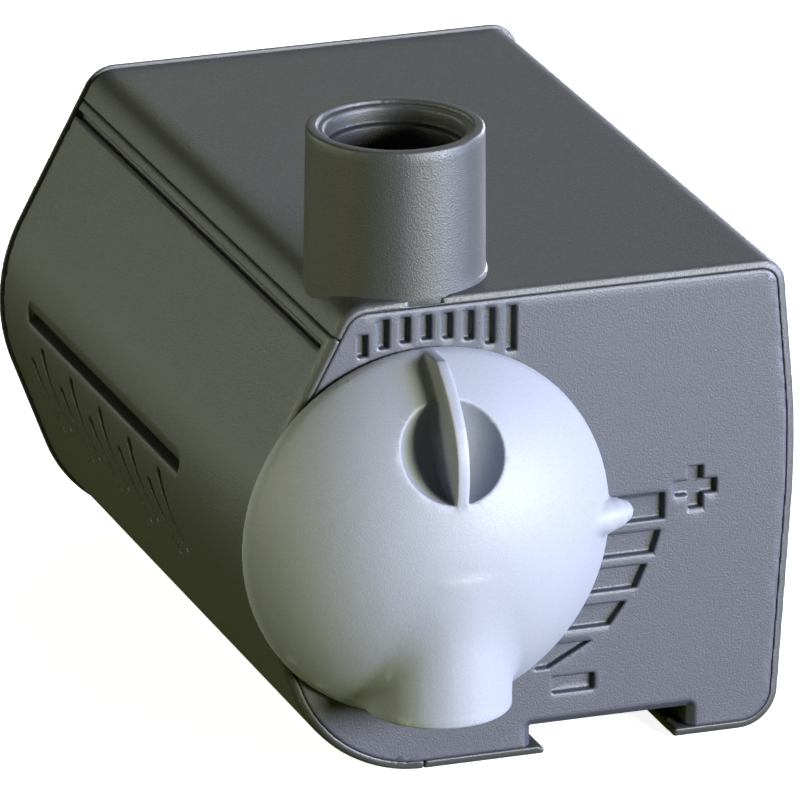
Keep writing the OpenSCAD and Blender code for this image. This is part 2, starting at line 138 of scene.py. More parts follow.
# front plate
PLATE_INSET = 0.88
PLATE_T = 2.0
MARK_DEPTH = 0.7
PLUS_X, PLUS_Z = 16.55, 24.6
PLUS_ARM, PLUS_BAR = 2.05, 0.7
SLOTS = 8
SLOT_START = -6.05  # from the dial's axis
SLOT_PITCH = 2.05
SLOT_HALF = 0.47
SLOT_TOP, FIRST_SLOT_TOP = 44.4, 43.1
SLOT_MARGIN = 0.55
WINDOW_R = (6, 13.4)
WINDOW_HALF = math.radians(22)
PIVOT_HOLE_R = 2.56
NOTCH_CHAMFER = 0.75

# flow dial
DIAL_R = 17.8
DOME_TOP = 10.9
DOME_WALL = 1.5
DIAL_BACK = 0.3
RIM_FRONT = 1.0
HOOD_R = 6.9
HOOD_FORWARD = 3.65
HOOD_Z = (8.0, 22)
HOOD_WALL = 1.2
FEED_WALL = 1.1
FEED_TOP = 16.5
RECESS_R = 5.25
RECESS_FORWARD = 9.2
RECESS_Z = 34.7
FIN_T = 1.2
POST_R = 4.2
PIVOT_R, PIVOT_NECK_R, PIVOT_TIP_R = 2.5, 1.8, 2.4

# pump chamber and outlet tube
OUTLET_Y = 8.5
OUTLET_R = 8.35
OUTLET_TOP = 60.0
TAPER = 0.15
FOOT_SWELL = 0.17
BORE_R = 5.83
STEP_R = 7.15
STEP_DEPTH = 0.4
MOUTH_R = 6.5
MOUTH_DEPTH = 2.0
POT_R = 13.2
POT_Y = (5.4, 16.4)
LUG_X, LUG_Z, LUG_R, LUG_HOLE_R = 6.9, 13.6, 2.5, 1.15
ROOM_R, ROOM_Y = 11.5, (4, 13)
CAN_ROOM_R, CAN_ROOM_Y = 8.4, (12, 18)
DUCT_Y, DUCT_Z, DUCT_R = 9.2, 37.2, 6.6
PASSAGE_Z, PASSAGE_R = 33, 4.9

shaft_low, shaft_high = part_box("rotor_shaft")
plate_low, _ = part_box("front_cover")
ORIGIN = Vector((
    (shaft_low.x + shaft_high.x) / 2 - AXIS_X * MM,
    plate_low.y,
    (shaft_low.z + shaft_high.z) / 2 - AXIS_Z * MM,
))


# ---------- distance fields ----------

# a field with nothing in it, to which pieces are added
EMPTY = np.full((1, 1, 1), 1e3)


def both(a, b, r):
    """Intersection whose edge is rounded with radius r."""
    corner = np.hypot(np.maximum(a + r, 0), np.maximum(b + r, 0))
    return np.minimum(np.maximum(a, b), -r) + corner


def either(a, b, r):
    """Union whose inner corner is filled with radius r."""
    corner = np.hypot(np.maximum(r - a, 0), np.maximum(r - b, 0))
    return np.maximum(np.minimum(a, b), r) - corner


def without(a, b, r):
    """What is left of a outside b, with a rounded edge."""
    return both(a, -b, r)


def span(v, low, high):
    """Distance to the slab between low and high."""
    return np.abs(v - (low + high) / 2) - (high - low) / 2


def disc(u, v, centre_u, centre_v, r):
    """Distance to a circle."""
    return np.hypot(u - centre_u, v - centre_v) - r


def rod(x, y, z, r, y0, y1, centre=(AXIS_X, AXIS_Z), edge=0.2):
    """Cylinder along Y."""
    return both(disc(x, z, *centre, r), span(y, y0, y1), edge)


def segment(u, v, a, b, r_a, r_b):
    """Rounded bar from a to b whose radius goes from r_a to r_b."""
    eu, ev = b[0] - a[0], b[1] - a[1]
    t = np.clip(((u - a[0]) * eu + (v - a[1]) * ev) / (eu * eu + ev * ev), 0, 1)
    return np.hypot(u - a[0] - eu * t, v - a[1] - ev * t) - r_a - (r_b - r_a) * t


def cone(u, v, w, a, b):
    """Body between the balls a and b, each given as centre and radius."""
    eu, ev, ew = b[0] - a[0], b[1] - a[1], b[2] - a[2]
    t = ((u - a[0]) * eu + (v - a[1]) * ev + (w - a[2]) * ew) / (eu * eu + ev * ev + ew * ew)
    t = np.clip(t, 0, 1)
    off = (u - a[0] - eu * t) ** 2 + (v - a[1] - ev * t) ** 2 + (w - a[2] - ew * t) ** 2
    return np.sqrt(off) - a[3] - (b[3] - a[3]) * t


def polygon(u, v, points):
    """Signed distance to a closed polygon, negative inside."""
    shape = np.broadcast(u, v).shape
    best = np.full(shape, 1e9, np.float32)
    inside = np.zeros(shape, bool)
    for (au, av), (bu, bv) in zip(points, [*points[1:], points[0]]):
        eu, ev = bu - au, bv - av
        t = np.clip(((u - au) * eu + (v - av) * ev) / (eu * eu + ev * ev), 0, 1)
        best = np.minimum(best, (u - au - eu * t) ** 2 + (v - av - ev * t) ** 2)
        if ev:
            inside ^= ((av > v) != (bv > v)) & (u < au + (v - av) * eu / ev)
    return np.where(inside, -1, 1) * np.sqrt(best)


def rectangle(u, v, low, high):
    """Signed distance to a rectangle given by two corners."""
    du, dv = span(u, low[0], high[0]), span(v, low[1], high[1])
    return np.minimum(np.maximum(du, dv), 0) + np.hypot(np.maximum(du, 0), np.maximum(dv, 0))


# Outline of the body seen from the front: circles x, z, r, anticlockwise, joined by tangents
CORNERS = (
    (RIGHT_X - 80, 27, 80),
    (22.7, BODY_H - 2.5, 2.5),
    (-15.7, BODY_H - 3, 3),
    (AXIS_X, AXIS_Z, 17.05),
    (-9.8, 13.6, 13.6),
    (21.35, 3.8, 3.8),
)
ARC_STEPS = 40


def tangent_angle(a, b):
    """Direction of the outward normal of the tangent from circle a to circle b."""
    dx, dz = b[0] - a[0], b[1] - a[1]
    return math.atan2(dz, dx) - math.acos((a[2] - b[2]) / math.hypot(dx, dz))


def body_points():
    """Points of the outline, with each circle's stretch between its two tangents as an arc."""
    points = []
    for i, (cx, cz, r) in enumerate(CORNERS):
        start = tangent_angle(CORNERS[i - 1], CORNERS[i])
        end = tangent_angle(CORNERS[i], CORNERS[(i + 1) % len(CORNERS)])
        sweep = (end - start) % math.tau
        for k in range(ARC_STEPS + 1):
            a = start + sweep * k / ARC_STEPS
            points.append((cx + r * math.cos(a), cz + r * math.sin(a)))
    return points


BODY_POINTS = body_points()


def side_zone(x, z):
    """Part of the front view that belongs to the side cover."""
    first, last = PARTING_START - 12 * PARTING, PARTING_START + 10 * PARTING
    return polygon(x, z, [
        tuple(first), tuple(last), (SEAM_X, AXIS_Z), (SEAM_X, -5), (-45, -5), (-45, SEAM_Z),
    ])


def field_mesh(name, low, high, voxel, field):
    """Object with the surface on which field(x, y, z) is zero."""
    axes = [l + voxel * np.arange(int((h - l) / voxel) + 2) for l, h in zip(low, high)]
    x, y, z = np.ix_(*[a.astype(np.float32) for a in axes])
    values = np.broadcast_to(field(x, y, z), (x.size, y.size, z.size))
    band = 3 * voxel
    values = np.ascontiguousarray(np.clip(values, -band, band), dtype=np.float32)
    grid = openvdb.FloatGrid(band)
    grid.copyFromArray(values)
    points, triangles, quads = grid.convertToPolygons(isovalue=0, adaptivity=ADAPTIVITY)
    points = (points * voxel + np.array(low)) * MM + np.array(ORIGIN)
    faces = [tuple(f) for f in triangles.tolist()] + [tuple(f) for f in quads.tolist()]
    mesh = bpy.data.meshes.new(name)
    mesh.from_pydata(points.tolist(), [], faces)
    mesh.validate()
    made = bmesh.new()
    made.from_mesh(mesh)
    bmesh.ops.recalc_face_normals(made, faces=made.faces)
    made.to_mesh(mesh)
    made.free()
    mesh.shade_smooth()
    piece = bpy.data.objects.new(name, mesh)
    bpy.context.scene.collection.objects.link(piece)
    return piece


# ---------- outer pieces ----------

def sleeve(x, y, z):
    """Wall of the body: a rounded rim round the plate, full thickness behind it."""
    section = polygon(x, z, BODY_POINTS)
    # the rim's front slopes outwards, except on the left, where its edge is rounder
    left = np.clip((-12 - x) / 4, 0, 1)
    rise = RIM_SLOPE * (1 - left) * np.maximum(section + RIM_WALL, 0)
    rim_front = (rise - y) / math.hypot(1, RIM_SLOPE)
    outer = both(both(section, rim_front, 0.25 + 0.5 * left), y - LIP_Y, 0.1)
    plate_room = np.maximum(section + RIM_WALL, y - REBATE_Y)
    inner = np.minimum(plate_room, section + WALL)
    return section, without(outer, inner, 0.08)


def shell_field(x, y, z):
    """Outer shell with the foot rail, the hole for the tube and the bosses of the rear screws."""
    section, body = sleeve(x, y, z)
    body = without(body, side_zone(x, z) - SEAM_GAP, 0.14)
    left, right = RAIL
    rail_block = rectangle(x, z, (left - RAIL_WALL, 0.1), (right + RAIL_WALL, RAIL_TOP + RAIL_ROOF))
    body = either(body, np.maximum(rail_block, span(y, REBATE_Y, REAR_Y)), 0.3)
    bosses = EMPTY
    for centre in REAR_SCREWS:
        bosses = np.minimum(bosses, rod(x, y, z, BOSS_R, BOSS_FRONT, REAR_Y - FIT, centre))
    body = np.minimum(body, np.maximum(bosses, section + 0.5))
    channel = polygon(x, z, [
        (left, RAIL_TOP), (left, 1.25), (left + RAIL_LIP, 0.55), (left + RAIL_LIP, BELOW),
        (right - RAIL_LIP, BELOW), (right - RAIL_LIP, 1), (right, 1), (right, RAIL_TOP),
    ])
    body = without(body, channel, 0.16)
    # the tube's foot stands in a snug hole that opens through the very front of the rim
    snug = disc(x, y, AXIS_X, OUTLET_Y, OUTLET_R + 0.05)
    narrow = disc(x, y, AXIS_X, OUTLET_Y, OUTLET_R - 0.9)
    opening = np.minimum(np.maximum(snug, y - 0.5), narrow)
    body = without(body, np.maximum(opening, SEAM_Z - 0.7 - z), 0.06)
    for centre in REAR_SCREWS:
        body = without(body, rod(x, y, z, SCREW_R, BOSS_FRONT - 1, BEHIND, centre), 0.12)
        head = rod(x, y, z, SCREW_HEAD_R, DEPTH - SCREW_HEAD_DEPTH, BEHIND, centre)
        body = without(body, head, 0.1)
    return body


def slot_cuts(y, z, depth):
    """Slots of the side cover: one long slot with a sloping upper lip, and pairs of slanting ones."""
    y0, y1 = LONG_SLOT_Y
    long_slot = segment(y, z, (y0, LONG_SLOT_Z), (y1, LONG_SLOT_Z), LONG_SLOT_R, LONG_SLOT_R)
    throat_z = LONG_SLOT_Z - THROAT_DROP
    throat = segment(y, z, (y0 - 0.4, throat_z), (y1 + 0.4, throat_z), THROAT_R, THROAT_R)
    under_lip = LONG_SLOT_Z + LONG_SLOT_R - z
    slope = (depth - under_lip * LIP_SLOPE) / math.hypot(1, LIP_SLOPE)
    cuts = np.minimum(throat, np.maximum(long_slot, slope))
    for i in range(SLANT_PAIRS):
        for y_top, z_top, z_low in SLANT_PAIR:
            top = (y_top - SLANT_PITCH * i, z_top)
            low = (top[0] - SLANT_RUN, z_low)
            cuts = np.minimum(cuts, segment(y, z, top, low, SLANT_TOP_R, SLANT_LOW_R))
    return cuts


def side_field(x, y, z):
    """Left cover with its slots and the tongue that holds it behind the seam at the bottom."""
    section, body = sleeve(x, y, z)
    body = both(body, side_zone(x, z), 0.14)
    tongue = rectangle(x, z, (-13, WALL + FIT), (-6.5, WALL + 1.1))
    root = rectangle(x, z, (-13, WALL - 0.6), (SEAM_X - 0.6, WALL + 0.5))
    body = np.minimum(body, both(np.minimum(tongue, root), span(y, 12, 58), 0.2))
    # shadow groove along the parting line, starting just behind the front edge
    along = (x - GROOVE_X) * PARTING.x + (z - GROOVE_Z) * PARTING.y
    across = (z - GROOVE_Z) * PARTING.x - (x - GROOVE_X) * PARTING.y
    groove = np.maximum(rectangle(along, across, (-0.7, -0.3), (0.7, 0.3)), GROOVE_FRONT - y)
    body = without(body, groove, 0.14)
    cuts = np.maximum(slot_cuts(y, z, -section), x - CUT_REACH_X)
    return without(body, cuts, 0.2)


def rear_field(x, y, z):
    """Rear cover: a thin flange on a plug, with a sunk field, the gland's hole and four screw holes."""
    section = polygon(x, z, BODY_POINTS)
    edge = np.maximum(np.maximum(section - 0.35, x - RIGHT_X), -z)
    body = both(both(edge, y - DEPTH, 0.15), LIP_Y - y, 0.08)
    plug = np.maximum(section + WALL + 0.15, span(y, REAR_Y, LIP_Y + FIT))
    body = np.minimum(body, plug)
    ribs = np.minimum(
        rectangle(x, z, (-6, BODY_H - WALL - 1.3), (15, BODY_H - WALL - FIT)),
        rectangle(x, z, (22.2, 12), (23.3, 34)))
    body = np.minimum(body, both(ribs, span(y, REAR_Y - 3, REAR_Y + 0.5), 0.2))
    # sunk field, with flat pads left round the screws and the gland
    pads = disc(x, z, *GLAND, GLAND_PAD_R)
    for centre in REAR_SCREWS:
        pads = np.minimum(pads, disc(x, z, *centre, SCREW_PAD_R))
    field = without(section + BACK_FRAME, pads, 1.0)
    body = without(body, both(field, DEPTH - BACK_SINK - y, 0.2), 0.2)
    body = without(body, disc(x, z, *GLAND, GLAND_R), 0.15)
    for centre in REAR_SCREWS:
        body = without(body, disc(x, z, *centre, SCREW_PASS_R), 0.15)
        head = np.maximum(disc(x, z, *centre, SCREW_HEAD_R), DEPTH - SCREW_HEAD_DEPTH - y)
        body = without(body, head, 0.15)
    return body


# ---------- front plate ----------

# Corners x, z of the scale's shrinking cells, from the top down; their left ends lie under the dial
SCALE_CELLS = (
    ((4, 24.45), (13.5, 24.45), (13.5, 21.9), (4, 21.9)),
    ((4, 20.8), (13.1, 20.8), (12.46, 18.65), (4, 18.65)),
    ((4, 17.6), (11.8, 17.6), (10.8, 15.4), (4, 15.4)),
    ((3, 14.17), (9.8, 14.17), (8.25, 12.05), (2, 12.05)),
    ((1, 10.7), (6.4, 10.7), (2.3, 8.5), (1, 8.5)),
    ((2.7, 7.53), (6.8, 7.53), (6.8, 5.92), (2.7, 5.92)),
)


def plate_marks(x, z):
    """Shallow slots over the dial, the plus sign and the cells of the scale."""
    px, pz, arm, bar = PLUS_X, PLUS_Z, PLUS_ARM, PLUS_BAR
    marks = np.minimum(
        rectangle(x, z, (px - arm, pz - bar), (px + arm, pz + bar)),
        rectangle(x, z, (px - bar, pz - arm), (px + bar, pz + arm)))
    for i in range(SLOTS):
        slot_x = AXIS_X + SLOT_START + SLOT_PITCH * i
        low = AXIS_Z + math.sqrt((DIAL_R + SLOT_MARGIN) ** 2 - (slot_x - AXIS_X) ** 2)
        high = FIRST_SLOT_TOP if i == 0 else SLOT_TOP
        slot = rectangle(x, z, (slot_x - SLOT_HALF, low), (slot_x + SLOT_HALF, high))
        marks = np.minimum(marks, slot)
    under_dial = disc(x, z, AXIS_X, AXIS_Z, DIAL_R - 0.8)
    for cell in SCALE_CELLS:
        marks = np.minimum(marks, without(polygon(x, z, cell), under_dial, 0.05))
    return marks


def window_sector(x, z, grow=0.0):
    """Inlet window: a sector of a ring under the axis."""
    r = np.hypot(x - AXIS_X, z - AXIS_Z)
    angle = np.abs(np.arctan2(x - AXIS_X, AXIS_Z - z))
    sides = (angle - WINDOW_HALF) * r - grow
    return np.maximum(span(r, WINDOW_R[0] - grow, WINDOW_R[1] + grow), sides)


def plate_field(x, y, z):
    """Front plate with its marks, the dial's hole, the inlet window and the notch over the rail."""
    section = polygon(x, z, BODY_POINTS)
    body = both(section + PLATE_INSET, span(y, 0, PLATE_T), 0.07)
    tongues = np.minimum(
        rectangle(x, z, (4, BODY_H - WALL - 1.2), (12, BODY_H - WALL - FIT)),
        rectangle(x, z, (23, 20), (24.1, 34)))
    body = np.minimum(body, both(tongues, span(y, PLATE_T - 0.5, 8), 0.2))
    body = without(body, np.maximum(plate_marks(x, z), y - MARK_DEPTH), 0.1)
    body = without(body, disc(x, z, AXIS_X, AXIS_Z, PIVOT_HOLE_R), 0.12)
    body = without(body, window_sector(x, z), 0.12)
    notch = rectangle(x, z, (RAIL[0], BELOW), (RAIL[1], RAIL_TOP))
    body = without(body, np.maximum(notch, y - PLATE_T - 0.4), 0.05)
    chamfer = (notch + y - NOTCH_CHAMFER) * math.sqrt(0.5)
    return without(body, chamfer, 0.05)


# ---------- flow dial ----------

def dome(side, f, shrink):
    """Spherical cap on a short rim; side is the distance from the axis and f points forwards."""
    rise = DOME_TOP - RIM_FRONT
    r = (DIAL_R ** 2 + rise ** 2) / (2 * rise)
    ball = np.hypot(side, f - DOME_TOP + r) - r + shrink
    return both(ball, side - DIAL_R + shrink, 0.45)


# Side view of the fin: distance in front of the plate and z
FIN = (
    (0.5, 41.4), (4.2, 41.4), (5, 41), (6.4, 39.9), (7.5, 38.8), (8.5, 37.7), (9.35, 36.5),
    (9.95, 35.3), (10.3, 34), (10.45, 32.6), (10.42, 31.2), (10.25, 29.8), (10.05, 28.8), (4, 28),
)
# Pointer on the rim: a body through balls given as x, distance in front of the plate, z, radius
NUB = (
    (3.8, 4.0, 24.0, 1.2), (6.3, 2.4, 23.8, 1.75), (7.6, 2.1, 23.85, 1.5),
    (8.4, 2.0, 23.9, 1.15), (9.0, 1.95, 23.9, 0.65),
)


def dial_field(x, y, z):
    """Domed dial with its hood, finger recess, fin, pointer and the snap pivot at its back."""
    f = -y
    side = np.hypot(x - AXIS_X, z - AXIS_Z)
    hood_side = np.hypot(x - AXIS_X, f - HOOD_FORWARD)
    hood = both(np.maximum(hood_side - HOOD_R, z - HOOD_Z[1]), HOOD_Z[0] - z, 0.35)
    body = either(dome(side, f, 0), hood, 1.0)
    # bowl-shaped finger recess
    recess = np.hypot(np.hypot(x - AXIS_X + 0.1, f - RECESS_FORWARD), z - RECESS_Z) - RECESS_R
    body = without(body, recess, 0.16)
    bowl = recess - DOME_WALL
    feed_wall = window_sector(x, z, FEED_WALL)
    post = side - POST_R
    hollow = without(dome(side, f, DOME_WALL), np.minimum(np.minimum(bowl, feed_wall), post), 0.3)
    hollow = np.minimum(hollow, np.maximum(window_sector(x, z), dome(side, f, DOME_WALL)))
    duct = np.maximum(hood_side - HOOD_R + HOOD_WALL, np.maximum(z - FEED_TOP, 1.4 - f))
    hollow = either(hollow, duct, 0.3)
    body = without(body, hollow, 0.2)
    fin = both(polygon(f, z, FIN), np.abs(x - AXIS_X) - FIN_T / 2, 0.18)
    body = either(body, fin, 0.22)
    nub = EMPTY
    for ball, next_ball in zip(NUB, NUB[1:]):
        nub = np.minimum(nub, cone(x, f, z, ball, next_ball))
    body = either(body, nub, 0.4)
    body = both(body, DIAL_BACK - f, 0.12)
    pivot = rod(x, y, z, PIVOT_R, -2, PLATE_T + FIT, edge=0.1)
    pivot = np.minimum(pivot, rod(x, y, z, PIVOT_NECK_R, -2, PLATE_T + 1, edge=0.1))
    pivot = np.minimum(pivot, rod(x, y, z, PIVOT_TIP_R, PLATE_T + 0.8, PLATE_T + 1.2, edge=0.1))
    return np.minimum(body, pivot)


# ---------- pump chamber with the outlet tube ----------

def chamber_field(x, y, z):
    """Impeller chamber with four screw lugs, the duct upwards and the stepped outlet tube."""
    tube_side = np.hypot(x - AXIS_X, y - OUTLET_Y)
    taper = OUTLET_R - TAPER * np.clip((z - BODY_H) / (OUTLET_TOP - BODY_H), 0, 1)
    tube = both(tube_side - taper, z - OUTLET_TOP, 0.35)
    # thin raised line round the right half of the tube's foot
    swell = FOOT_SWELL * np.clip((x - AXIS_X - 3) / 4, 0, 1)
    foot = both(tube_side - OUTLET_R - swell, span(z, BODY_H - 1, BODY_H + 0.4), 0.1)
    tube = np.minimum(tube, foot)
    above = np.maximum(tube, BODY_H - 0.9 - z)
    behind = np.maximum(np.maximum(tube, SEAM_Z + 0.2 - z), REBATE_Y + FIT - y)
    body = np.minimum(above, behind)
    lugs = EMPTY
    for lug_x in (-LUG_X, LUG_X):
        for lug_z in (-LUG_Z, LUG_Z):
            lugs = np.minimum(lugs, disc(x, z, AXIS_X + lug_x, AXIS_Z + lug_z, LUG_R))
    pot = either(disc(x, z, AXIS_X, AXIS_Z, POT_R), lugs, 1.0)
    pot = both(pot, span(y, *POT_Y), 0.25)
    duct = np.maximum(disc(x, y, AXIS_X, DUCT_Y, DUCT_R), span(z, DUCT_Z, BODY_H - 0.2))
    duct = np.maximum(duct, span(y, PLATE_T + 0.6, POT_Y[1]))
    body = either(body, either(pot, duct, 0.8), 0.3)
    room = np.minimum(rod(x, y, z, ROOM_R, *ROOM_Y), rod(x, y, z, CAN_ROOM_R, *CAN_ROOM_Y))
    room = np.minimum(room, rod(x, y, z, PASSAGE_R, *ROOM_Y, (AXIS_X, PASSAGE_Z + 0.7)))
    passage = np.maximum(disc(x, y, AXIS_X, DUCT_Y, PASSAGE_R), span(z, PASSAGE_Z, BODY_H - 1))
    room = either(room, passage, 0.5)
    body = without(body, room, 0.2)
    body = without(body, np.maximum(tube_side - BORE_R, BODY_H - 1.2 - z), 0.15)
    body = without(body, both(tube_side - MOUTH_R, OUTLET_TOP - MOUTH_DEPTH - z, 0.1), 0.12)
    body = without(body, both(tube_side - STEP_R, OUTLET_TOP - STEP_DEPTH - z, 0.1), 0.15)
    return without(body, lugs + LUG_R - LUG_HOLE_R, 0.12)


# ---------- procedural materials ----------

def new_material(name):
    """New material, its nodes, its links and its shader."""
    made = bpy.data.materials.new(name)
    made.use_nodes = True
    return made, made.node_tree.nodes, made.node_tree.links, made.node_tree.nodes["Principled BSDF"]


def noise(nodes, links, coords, size, rough):
    """Fractal noise in object space, with features of the given size in millimetres."""
    made = nodes.new("ShaderNodeTexNoise")
    made.inputs["Scale"].default_value = 1 / (size * MM)
    made.inputs["Detail"].default_value = 3.0
    made.inputs["Roughness"].default_value = rough
    links.new(coords.outputs["Object"], made.inputs["Vector"])
    return made.outputs["Fac"]


def ramp(nodes, links, factor, stops):
    """Colour ramp; stops are (position, (r, g, b)) pairs."""
    made = nodes.new("ShaderNodeValToRGB")
    links.new(factor, made.inputs["Fac"])
    elements = made.color_ramp.elements
    while len(elements) < len(stops):
        elements.new(0.5)
    for element, (place, colour) in zip(elements, stops):
        element.position = place
        element.color = (*colour, 1)
    return made.outputs["Color"]


def multiply(nodes, links, a, b):
    """Product of two colours."""
    made = nodes.new("ShaderNodeMix")
    made.data_type = "RGBA"
    made.blend_type = "MULTIPLY"
    made.inputs["Factor"].default_value = 1.0
    links.new(a, made.inputs[6])
    links.new(b, made.inputs[7])
    return made.outputs[2]


def grey(level):
    return (level, level, level)


MOTTLE_SIZE = 9


def moulded(name, colour, roughness=0.5, grain=0.16, bump=0.012, grain_size=0.18, mottle=0.03,
            gloss=0.5, ior=1.5):
    """Spark-eroded moulded plastic: fine grain in colour, gloss and relief, soft mottling, painted
    highlights on sharp edges.

    bump and grain_size are in millimetres; grain and mottle are shares of the colour.
    """
    made, nodes, links, shader = new_material(name)
    coords = nodes.new("ShaderNodeTexCoord")
    fine = noise(nodes, links, coords, grain_size, 0.6)
    broad = noise(nodes, links, coords, MOTTLE_SIZE, 0.55)
    fine_tone = ramp(nodes, links, fine, [(0.3, grey(1 - grain)), (0.7, grey(1 + grain))])
    broad_tone = ramp(nodes, links, broad, [(0.3, grey(1 - mottle)), (0.7, grey(1 + mottle))])
    base = nodes.new("ShaderNodeRGB")
    base.outputs[0].default_value = (*colour, 1)
    toned = multiply(nodes, links, base.outputs[0], fine_tone)
    toned = multiply(nodes, links, toned, broad_tone)
    geometry = nodes.new("ShaderNodeNewGeometry")
    # sharp convex edges are lightened by pointiness: a painted highlight along the edges
    painted_edge_highlight = ramp(nodes, links, geometry.outputs["Pointiness"], [(0.5, grey(1)), (0.62, grey(1.35))])
    toned = multiply(nodes, links, toned, painted_edge_highlight)
    links.new(toned, shader.inputs["Base Color"])
    rough_low, rough_high = roughness - 0.06, roughness + 0.08
    rough_tone = ramp(nodes, links, fine, [(0.3, grey(rough_high)), (0.7, grey(rough_low))])
    links.new(rough_tone, shader.inputs["Roughness"])
    shader.inputs["Specular IOR Level"].default_value = gloss
    shader.inputs["IOR"].default_value = ior
    relief = nodes.new("ShaderNodeBump")
    relief.inputs["Strength"].default_value = 1.0
    relief.inputs["Distance"].default_value = bump * MM
    links.new(fine, relief.inputs["Height"])
    links.new(relief.outputs["Normal"], shader.inputs["Normal"])
    return made


def metal(name, colour, roughness, brush_axis=2):
    """Brushed or rolled metal with fine streaks along one axis, 0 for X to 2 for Z."""
    made, nodes, links, shader = new_material(name)
    coords = nodes.new("ShaderNodeTexCoord")
    stretch = nodes.new("ShaderNodeMapping")
    scale = [6000.0, 6000.0, 6000.0]
    scale[brush_axis] = 300.0  # long along the brushed axis
    stretch.inputs["Scale"].default_value = scale
    links.new(coords.outputs["Object"], stretch.inputs["Vector"])
    streaks = nodes.new("ShaderNodeTexNoise")
    streaks.inputs["Scale"].default_value = 1.0
    streaks.inputs["Detail"].default_value = 3.0
    links.new(stretch.outputs["Vector"], streaks.inputs["Vector"])
    dark = tuple(0.75 * c for c in colour)
    toned = ramp(nodes, links, streaks.outputs["Fac"], [(0.3, dark), (0.7, colour)])
    links.new(toned, shader.inputs["Base Color"])
    levels = [(0.3, grey(roughness + 0.12)), (0.7, grey(roughness - 0.05))]
    links.new(ramp(nodes, links, streaks.outputs["Fac"], levels), shader.inputs["Roughness"])
    shader.inputs["Metallic"].default_value = 1.0
    relief = nodes.new("ShaderNodeBump")
    relief.inputs["Strength"].default_value = 0.5
    relief.inputs["Distance"].default_value = 0.01 * MM
    links.new(streaks.outputs["Fac"], relief.inputs["Height"])
    links.new(relief.outputs["Normal"], shader.inputs["Normal"])
    return made


def wound_copper(name):
    """Layers of enamelled wire: fine ridges round the coil."""
    made, nodes, links, shader = new_material(name)
    coords = nodes.new("ShaderNodeTexCoord")
    turns = nodes.new("ShaderNodeTexWave")
    turns.wave_type = "BANDS"
    turns.bands_direction = "X"
    turns.inputs["Scale"].default_value = 1100.0
    turns.inputs["Distortion"].default_value = 0.4
    links.new(coords.outputs["Object"], turns.inputs["Vector"])
    levels = [(0.1, (0.22, 0.07, 0.02)), (0.6, (0.62, 0.24, 0.08))]
    links.new(ramp(nodes, links, turns.outputs["Fac"], levels), shader.inputs["Base Color"])
    shader.inputs["Metallic"].default_value = 0.85
    shader.inputs["Roughness"].default_value = 0.32
    relief = nodes.new("ShaderNodeBump")
    relief.inputs["Distance"].default_value = 0.1 * MM
    links.new(turns.outputs["Fac"], relief.inputs["Height"])
    links.new(relief.outputs["Normal"], shader.inputs["Normal"])
    return made


MATERIALS = {
    "shell_plastic": moulded("shell_plastic", (0.042, 0.044, 0.044), bump=0.045, gloss=0.52, ior=1.8),
    "front_plastic": moulded("front_plastic", (0.046, 0.049, 0.07), bump=0.034, gloss=0.52, ior=1.8),
    "dial_plastic": moulded("dial_plastic", (0.31, 0.325, 0.37), 0.5, 0.05, 0.022, 0.18, 0.02),
    "inner_plastic": moulded("inner_plastic", (0.09, 0.095, 0.10), 0.45, 0.12, 0.02),
    "impeller_plastic": moulded("impeller_plastic", (0.78, 0.79, 0.80), 0.35, 0.04, 0.01),
    "bobbin_plastic": moulded("bobbin_plastic", (0.74, 0.69, 0.55), 0.5, 0.08, 0.02),
    "rubber": moulded("rubber", (0.03, 0.03, 0.032), 0.7, 0.25, 0.03, 0.5, 0.15, 0.3),
    "ceramic": moulded("ceramic", (0.86, 0.85, 0.80), 0.2, 0.03, 0.004, 0.2, 0.02),
    "ferrite": moulded("ferrite", (0.055, 0.055, 0.06), 0.45, 0.3, 0.02, 0.15, 0.15),
    "resin": moulded("resin", (0.05, 0.034, 0.024), 0.25, 0.1, 0.02, 1.5, 0.2),
    "steel": metal("steel", (0.62, 0.63, 0.65), 0.28),
    "tin": metal("tin", (0.7, 0.7, 0.7), 0.35, 0),
    "laminations": metal("laminations", (0.34, 0.35, 0.37), 0.5, 0),
    "copper": wound_copper("copper"),
}


# ---------- pieces ----------

def finish_piece(piece, node, body, slot):
    """Gives a piece the material of its slot, attaches it to its body and hides the CAD node that it
    replaces.
    """
    piece.data.materials.append(MATERIALS[slot])
    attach(piece, body)
    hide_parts(node)


REPLACED = (
    # piece, CAD node, body and slot, then low corner, high corner, voxel size and distance field
    ("shell", "housing_shell", "housing", "shell_plastic",
     (-28, -0.6, -0.6), (27.2, 73, 46.8), 0.17, shell_field),
    ("side_panel_shell", "side_cover", "side_panel", "shell_plastic",
     (-28, -0.6, -0.6), (-5.6, 73, 44.6), 0.16, side_field),
    ("rear_plate", "rear_cover", "housing", "shell_plastic",
     (-28.4, 67, -0.6), (27.2, 73.4, 47), 0.16, rear_field),
    ("front_plate", "front_cover", "front_panel", "front_plastic",
     (-28, -0.6, -0.6), (27.2, 8.8, 46.8), 0.12, plate_field),
    ("dial_shell", "flow_dial", "dial", "dial_plastic",
     (-28.6, -11.6, 5), (10.2, 4, 42.4), 0.14, dial_field),
    ("chamber_shell", "pump_chamber", "housing", "shell_plastic",
     (-24.2, -0.8, 7), (4.2, 17.4, 60.8), 0.16, chamber_field),
)
for piece_name, node, body, slot, low, high, voxel, field in REPLACED:
    finish_piece(field_mesh(piece_name, low, high, voxel, field), node, body, slot)


EDGE_WIDTH = 0.12


